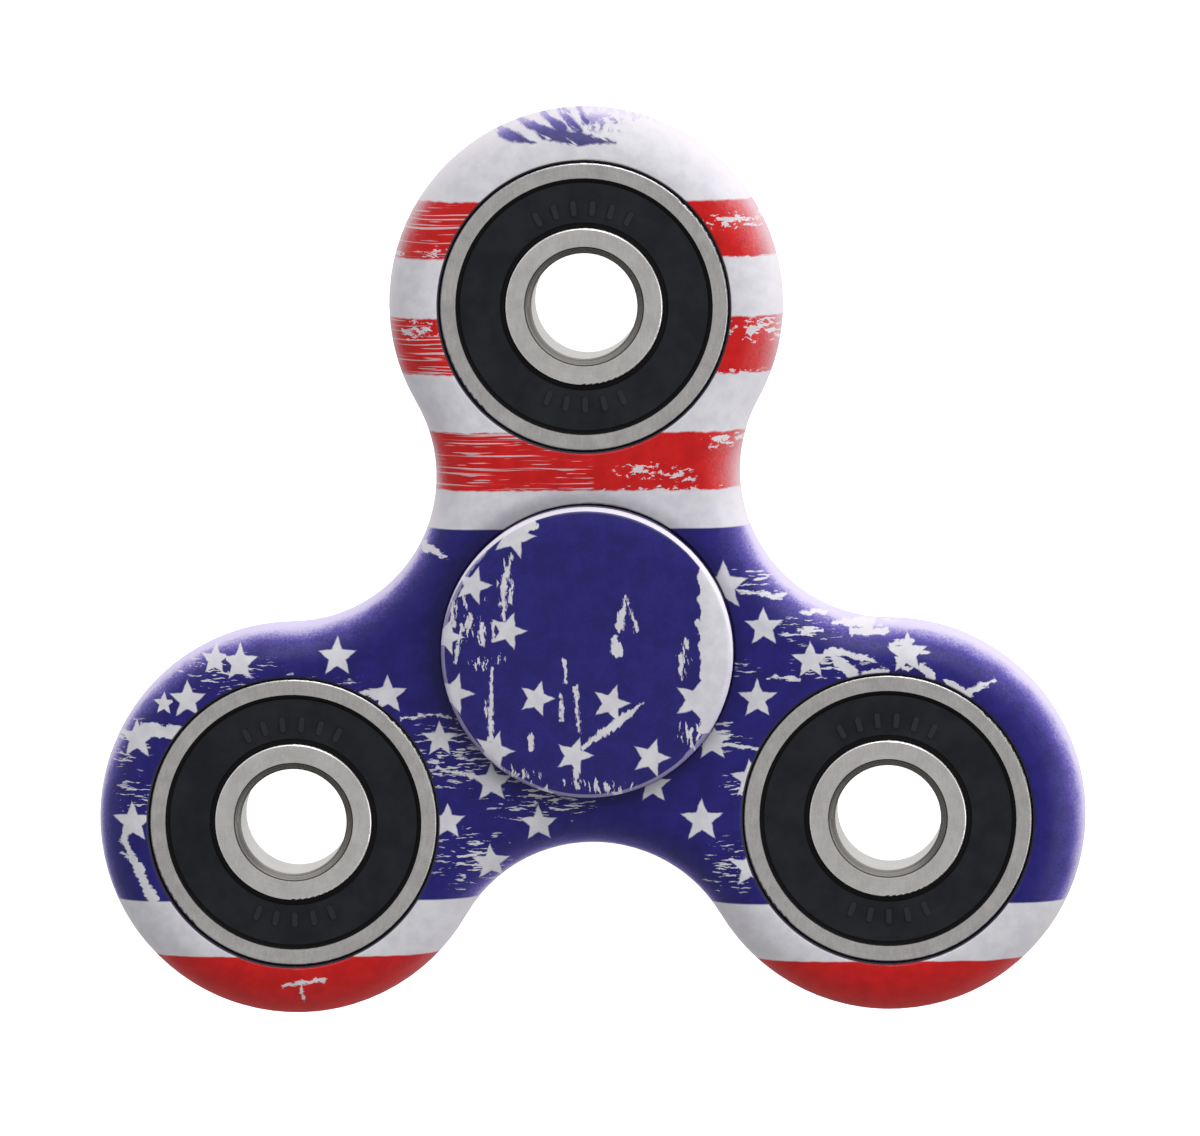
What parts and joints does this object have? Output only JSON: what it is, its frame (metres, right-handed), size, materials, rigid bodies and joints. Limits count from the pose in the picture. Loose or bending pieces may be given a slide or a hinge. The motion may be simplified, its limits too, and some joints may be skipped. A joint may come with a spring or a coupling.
{
  "type": "fidget spinner",
  "caption": "Three-lobed hand spinner: a printed plastic body on a capped ball bearing, with an open ball bearing in each lobe.",
  "frame": {"origin": "middle of the centre bearing, on the spin axis at half the body's thickness", "axes": "+Z along the spin axis out of the front finger cap, +Y towards the top lobe, +X to the right seen from the front"},
  "size_m": [0.0748, 0.0688, 0.0122],
  "materials": {
    "body_print": "satin moulded plastic with a worn stars and stripes print in red, white and dark blue",
    "cap_print": "smooth moulded plastic with the same worn print, white stars on dark blue",
    "race_steel": "fine turned faces, ground bore",
    "ball_steel": "polished",
    "cage_steel": "pressed sheet, satin",
    "seal_rubber": "satin black moulded rubber"
  },
  "bodies": {
    "hub": {"front_cap": "cap_print", "back_cap": "cap_print", "centre_inner_race": "race_steel"},
    "rotor": {"spinner_body": "body_print", "centre_outer_race": "race_steel", "top_outer_race": "race_steel", "left_outer_race": "race_steel", "right_outer_race": "race_steel", "centre_front_seal": "seal_rubber", "centre_back_seal": "seal_rubber", "top_front_seal": "seal_rubber", "top_back_seal": "seal_rubber", "left_front_seal": "seal_rubber", "left_back_seal": "seal_rubber", "right_front_seal": "seal_rubber", "right_back_seal": "seal_rubber"},
    "centre_cage": {"centre_cage_front": "cage_steel", "centre_cage_back": "cage_steel", "centre_cage_rivets": "cage_steel"},
    "centre_ball_1": {"centre_ball_1": "ball_steel"},
    "centre_ball_2": {"centre_ball_2": "ball_steel"},
    "centre_ball_3": {"centre_ball_3": "ball_steel"},
    "centre_ball_4": {"centre_ball_4": "ball_steel"},
    "centre_ball_5": {"centre_ball_5": "ball_steel"},
    "centre_ball_6": {"centre_ball_6": "ball_steel"},
    "centre_ball_7": {"centre_ball_7": "ball_steel"},
    "top_inner": {"top_inner_race": "race_steel"},
    "top_cage": {"top_cage_front": "cage_steel", "top_cage_back": "cage_steel", "top_cage_rivets": "cage_steel"},
    "top_ball_1": {"top_ball_1": "ball_steel"},
    "top_ball_2": {"top_ball_2": "ball_steel"},
    "top_ball_3": {"top_ball_3": "ball_steel"},
    "top_ball_4": {"top_ball_4": "ball_steel"},
    "top_ball_5": {"top_ball_5": "ball_steel"},
    "top_ball_6": {"top_ball_6": "ball_steel"},
    "top_ball_7": {"top_ball_7": "ball_steel"},
    "left_inner": {"left_inner_race": "race_steel"},
    "left_cage": {"left_cage_front": "cage_steel", "left_cage_back": "cage_steel", "left_cage_rivets": "cage_steel"},
    "left_ball_1": {"left_ball_1": "ball_steel"},
    "left_ball_2": {"left_ball_2": "ball_steel"},
    "left_ball_3": {"left_ball_3": "ball_steel"},
    "left_ball_4": {"left_ball_4": "ball_steel"},
    "left_ball_5": {"left_ball_5": "ball_steel"},
    "left_ball_6": {"left_ball_6": "ball_steel"},
    "left_ball_7": {"left_ball_7": "ball_steel"},
    "right_inner": {"right_inner_race": "race_steel"},
    "right_cage": {"right_cage_front": "cage_steel", "right_cage_back": "cage_steel", "right_cage_rivets": "cage_steel"},
    "right_ball_1": {"right_ball_1": "ball_steel"},
    "right_ball_2": {"right_ball_2": "ball_steel"},
    "right_ball_3": {"right_ball_3": "ball_steel"},
    "right_ball_4": {"right_ball_4": "ball_steel"},
    "right_ball_5": {"right_ball_5": "ball_steel"},
    "right_ball_6": {"right_ball_6": "ball_steel"},
    "right_ball_7": {"right_ball_7": "ball_steel"}
  },
  "joints": [
    {"name": "body_spin", "type": "hinge", "parent": "hub", "child": "rotor", "pos_m": [0, 0, 0], "axis": [0, 0, 1], "continuous": true},
    {"name": "centre_cage_orbit", "type": "hinge", "parent": "hub", "child": "centre_cage", "pos_m": [0, 0, 0], "axis": [0, 0, 1], "continuous": true},
    {"name": "centre_ball_1_roll", "type": "hinge", "parent": "centre_cage", "child": "centre_ball_1", "pos_m": [0.0075, 0, 0], "axis": [0, 0, 1], "continuous": true},
    {"name": "centre_ball_2_roll", "type": "hinge", "parent": "centre_cage", "child": "centre_ball_2", "pos_m": [0.00468, 0.00586, 0], "axis": [0, 0, 1], "continuous": true},
    {"name": "centre_ball_3_roll", "type": "hinge", "parent": "centre_cage", "child": "centre_ball_3", "pos_m": [-0.00167, 0.00731, 0], "axis": [0, 0, 1], "continuous": true},
    {"name": "centre_ball_4_roll", "type": "hinge", "parent": "centre_cage", "child": "centre_ball_4", "pos_m": [-0.00676, 0.00325, 0], "axis": [0, 0, 1], "continuous": true},
    {"name": "centre_ball_5_roll", "type": "hinge", "parent": "centre_cage", "child": "centre_ball_5", "pos_m": [-0.00676, -0.00325, 0], "axis": [0, 0, 1], "continuous": true},
    {"name": "centre_ball_6_roll", "type": "hinge", "parent": "centre_cage", "child": "centre_ball_6", "pos_m": [-0.00167, -0.00731, 0], "axis": [0, 0, 1], "continuous": true},
    {"name": "centre_ball_7_roll", "type": "hinge", "parent": "centre_cage", "child": "centre_ball_7", "pos_m": [0.00468, -0.00586, 0], "axis": [0, 0, 1], "continuous": true},
    {"name": "top_inner_race_spin", "type": "hinge", "parent": "rotor", "child": "top_inner", "pos_m": [0, 0.026, 0], "axis": [0, 0, 1], "continuous": true},
    {"name": "top_cage_orbit", "type": "hinge", "parent": "rotor", "child": "top_cage", "pos_m": [0, 0.026, 0], "axis": [0, 0, 1], "continuous": true},
    {"name": "top_ball_1_roll", "type": "hinge", "parent": "top_cage", "child": "top_ball_1", "pos_m": [0.0075, 0.026, 0], "axis": [0, 0, 1], "continuous": true},
    {"name": "top_ball_2_roll", "type": "hinge", "parent": "top_cage", "child": "top_ball_2", "pos_m": [0.00468, 0.03186, 0], "axis": [0, 0, 1], "continuous": true},
    {"name": "top_ball_3_roll", "type": "hinge", "parent": "top_cage", "child": "top_ball_3", "pos_m": [-0.00167, 0.03331, 0], "axis": [0, 0, 1], "continuous": true},
    {"name": "top_ball_4_roll", "type": "hinge", "parent": "top_cage", "child": "top_ball_4", "pos_m": [-0.00676, 0.02925, 0], "axis": [0, 0, 1], "continuous": true},
    {"name": "top_ball_5_roll", "type": "hinge", "parent": "top_cage", "child": "top_ball_5", "pos_m": [-0.00676, 0.02275, 0], "axis": [0, 0, 1], "continuous": true},
    {"name": "top_ball_6_roll", "type": "hinge", "parent": "top_cage", "child": "top_ball_6", "pos_m": [-0.00167, 0.01869, 0], "axis": [0, 0, 1], "continuous": true},
    {"name": "top_ball_7_roll", "type": "hinge", "parent": "top_cage", "child": "top_ball_7", "pos_m": [0.00468, 0.02014, 0], "axis": [0, 0, 1], "continuous": true},
    {"name": "left_inner_race_spin", "type": "hinge", "parent": "rotor", "child": "left_inner", "pos_m": [-0.02252, -0.013, 0], "axis": [0, 0, 1], "continuous": true},
    {"name": "left_cage_orbit", "type": "hinge", "parent": "rotor", "child": "left_cage", "pos_m": [-0.02252, -0.013, 0], "axis": [0, 0, 1], "continuous": true},
    {"name": "left_ball_1_roll", "type": "hinge", "parent": "left_cage", "child": "left_ball_1", "pos_m": [-0.01502, -0.013, 0], "axis": [0, 0, 1], "continuous": true},
    {"name": "left_ball_2_roll", "type": "hinge", "parent": "left_cage", "child": "left_ball_2", "pos_m": [-0.01784, -0.00714, 0], "axis": [0, 0, 1], "continuous": true},
    {"name": "left_ball_3_roll", "type": "hinge", "parent": "left_cage", "child": "left_ball_3", "pos_m": [-0.02419, -0.00569, 0], "axis": [0, 0, 1], "continuous": true},
    {"name": "left_ball_4_roll", "type": "hinge", "parent": "left_cage", "child": "left_ball_4", "pos_m": [-0.02927, -0.00975, 0], "axis": [0, 0, 1], "continuous": true},
    {"name": "left_ball_5_roll", "type": "hinge", "parent": "left_cage", "child": "left_ball_5", "pos_m": [-0.02927, -0.01625, 0], "axis": [0, 0, 1], "continuous": true},
    {"name": "left_ball_6_roll", "type": "hinge", "parent": "left_cage", "child": "left_ball_6", "pos_m": [-0.02419, -0.02031, 0], "axis": [0, 0, 1], "continuous": true},
    {"name": "left_ball_7_roll", "type": "hinge", "parent": "left_cage", "child": "left_ball_7", "pos_m": [-0.01784, -0.01886, 0], "axis": [0, 0, 1], "continuous": true},
    {"name": "right_inner_race_spin", "type": "hinge", "parent": "rotor", "child": "right_inner", "pos_m": [0.02252, -0.013, 0], "axis": [0, 0, 1], "continuous": true},
    {"name": "right_cage_orbit", "type": "hinge", "parent": "rotor", "child": "right_cage", "pos_m": [0.02252, -0.013, 0], "axis": [0, 0, 1], "continuous": true},
    {"name": "right_ball_1_roll", "type": "hinge", "parent": "right_cage", "child": "right_ball_1", "pos_m": [0.03002, -0.013, 0], "axis": [0, 0, 1], "continuous": true},
    {"name": "right_ball_2_roll", "type": "hinge", "parent": "right_cage", "child": "right_ball_2", "pos_m": [0.02719, -0.00714, 0], "axis": [0, 0, 1], "continuous": true},
    {"name": "right_ball_3_roll", "type": "hinge", "parent": "right_cage", "child": "right_ball_3", "pos_m": [0.02085, -0.00569, 0], "axis": [0, 0, 1], "continuous": true},
    {"name": "right_ball_4_roll", "type": "hinge", "parent": "right_cage", "child": "right_ball_4", "pos_m": [0.01576, -0.00975, 0], "axis": [0, 0, 1], "continuous": true},
    {"name": "right_ball_5_roll", "type": "hinge", "parent": "right_cage", "child": "right_ball_5", "pos_m": [0.01576, -0.01625, 0], "axis": [0, 0, 1], "continuous": true},
    {"name": "right_ball_6_roll", "type": "hinge", "parent": "right_cage", "child": "right_ball_6", "pos_m": [0.02085, -0.02031, 0], "axis": [0, 0, 1], "continuous": true},
    {"name": "right_ball_7_roll", "type": "hinge", "parent": "right_cage", "child": "right_ball_7", "pos_m": [0.02719, -0.01886, 0], "axis": [0, 0, 1], "continuous": true}
  ],
  "couplings": [
    {"joint": "centre_cage_orbit", "follows": "body_spin", "ratio": 0.6323},
    {"joint": "centre_ball_1_roll", "follows": "body_spin", "ratio": 1.7573},
    {"joint": "centre_ball_2_roll", "follows": "body_spin", "ratio": 1.7573},
    {"joint": "centre_ball_3_roll", "follows": "body_spin", "ratio": 1.7573},
    {"joint": "centre_ball_4_roll", "follows": "body_spin", "ratio": 1.7573},
    {"joint": "centre_ball_5_roll", "follows": "body_spin", "ratio": 1.7573},
    {"joint": "centre_ball_6_roll", "follows": "body_spin", "ratio": 1.7573},
    {"joint": "centre_ball_7_roll", "follows": "body_spin", "ratio": 1.7573},
    {"joint": "top_cage_orbit", "follows": "top_inner_race_spin", "ratio": 0.3677},
    {"joint": "top_ball_1_roll", "follows": "top_inner_race_spin", "ratio": -1.7573},
    {"joint": "top_ball_2_roll", "follows": "top_inner_race_spin", "ratio": -1.7573},
    {"joint": "top_ball_3_roll", "follows": "top_inner_race_spin", "ratio": -1.7573},
    {"joint": "top_ball_4_roll", "follows": "top_inner_race_spin", "ratio": -1.7573},
    {"joint": "top_ball_5_roll", "follows": "top_inner_race_spin", "ratio": -1.7573},
    {"joint": "top_ball_6_roll", "follows": "top_inner_race_spin", "ratio": -1.7573},
    {"joint": "top_ball_7_roll", "follows": "top_inner_race_spin", "ratio": -1.7573},
    {"joint": "left_cage_orbit", "follows": "left_inner_race_spin", "ratio": 0.3677},
    {"joint": "left_ball_1_roll", "follows": "left_inner_race_spin", "ratio": -1.7573},
    {"joint": "left_ball_2_roll", "follows": "left_inner_race_spin", "ratio": -1.7573},
    {"joint": "left_ball_3_roll", "follows": "left_inner_race_spin", "ratio": -1.7573},
    {"joint": "left_ball_4_roll", "follows": "left_inner_race_spin", "ratio": -1.7573},
    {"joint": "left_ball_5_roll", "follows": "left_inner_race_spin", "ratio": -1.7573},
    {"joint": "left_ball_6_roll", "follows": "left_inner_race_spin", "ratio": -1.7573},
    {"joint": "left_ball_7_roll", "follows": "left_inner_race_spin", "ratio": -1.7573},
    {"joint": "right_cage_orbit", "follows": "right_inner_race_spin", "ratio": 0.3677},
    {"joint": "right_ball_1_roll", "follows": "right_inner_race_spin", "ratio": -1.7573},
    {"joint": "right_ball_2_roll", "follows": "right_inner_race_spin", "ratio": -1.7573},
    {"joint": "right_ball_3_roll", "follows": "right_inner_race_spin", "ratio": -1.7573},
    {"joint": "right_ball_4_roll", "follows": "right_inner_race_spin", "ratio": -1.7573},
    {"joint": "right_ball_5_roll", "follows": "right_inner_race_spin", "ratio": -1.7573},
    {"joint": "right_ball_6_roll", "follows": "right_inner_race_spin", "ratio": -1.7573},
    {"joint": "right_ball_7_roll", "follows": "right_inner_race_spin", "ratio": -1.7573}
  ]
}
